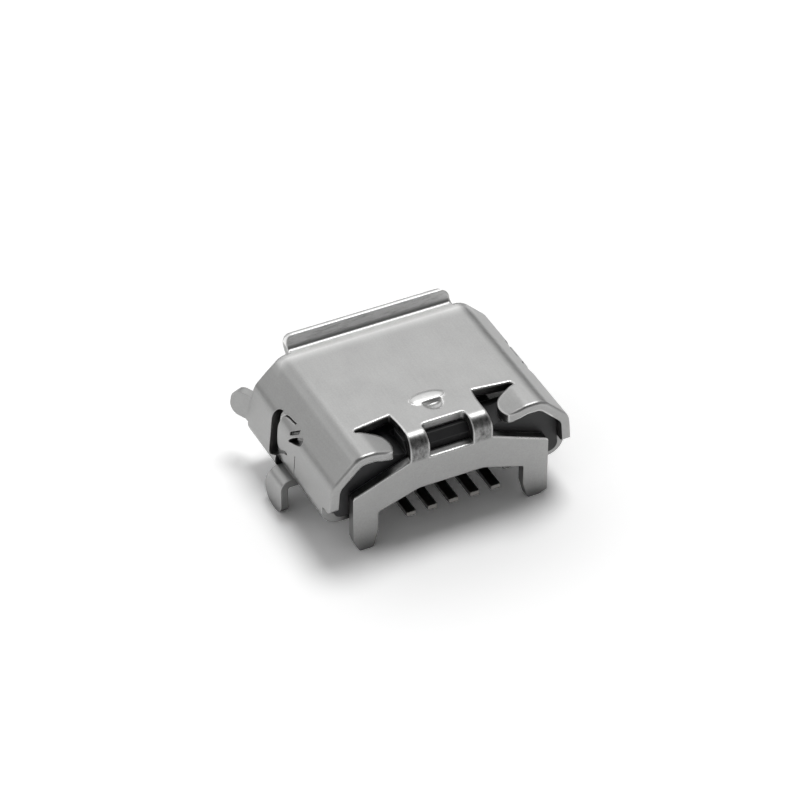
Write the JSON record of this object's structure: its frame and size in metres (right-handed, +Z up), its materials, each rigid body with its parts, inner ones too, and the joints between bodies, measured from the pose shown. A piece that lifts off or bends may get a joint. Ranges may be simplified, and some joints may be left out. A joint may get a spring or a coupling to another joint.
{
  "type": "micro usb socket",
  "caption": "Micro USB type B socket for board mounting: a folded metal shell with a flared mouth, a rear plate and stake legs around a moulded tongue with contacts.",
  "frame": {"origin": "middle of the solder face of the centre contact's tail where it leaves the block, on the board's surface", "axes": "+Z up from the board, -Y out of the mouth towards the plug, X along the row of contacts"},
  "size_m": [0.0082, 0.0059, 0.0036],
  "materials": {
    "shell": "satin tin plate over folded steel sheet",
    "insulator": "black moulded high-temperature plastic",
    "contact": "tin plated copper alloy strip"
  },
  "bodies": {
    "root": {"shell": "shell", "insulator": "insulator", "power_contact": "contact", "data_minus_contact": "contact", "data_plus_contact": "contact", "id_contact": "contact", "ground_contact": "contact"}
  },
  "joints": []
}
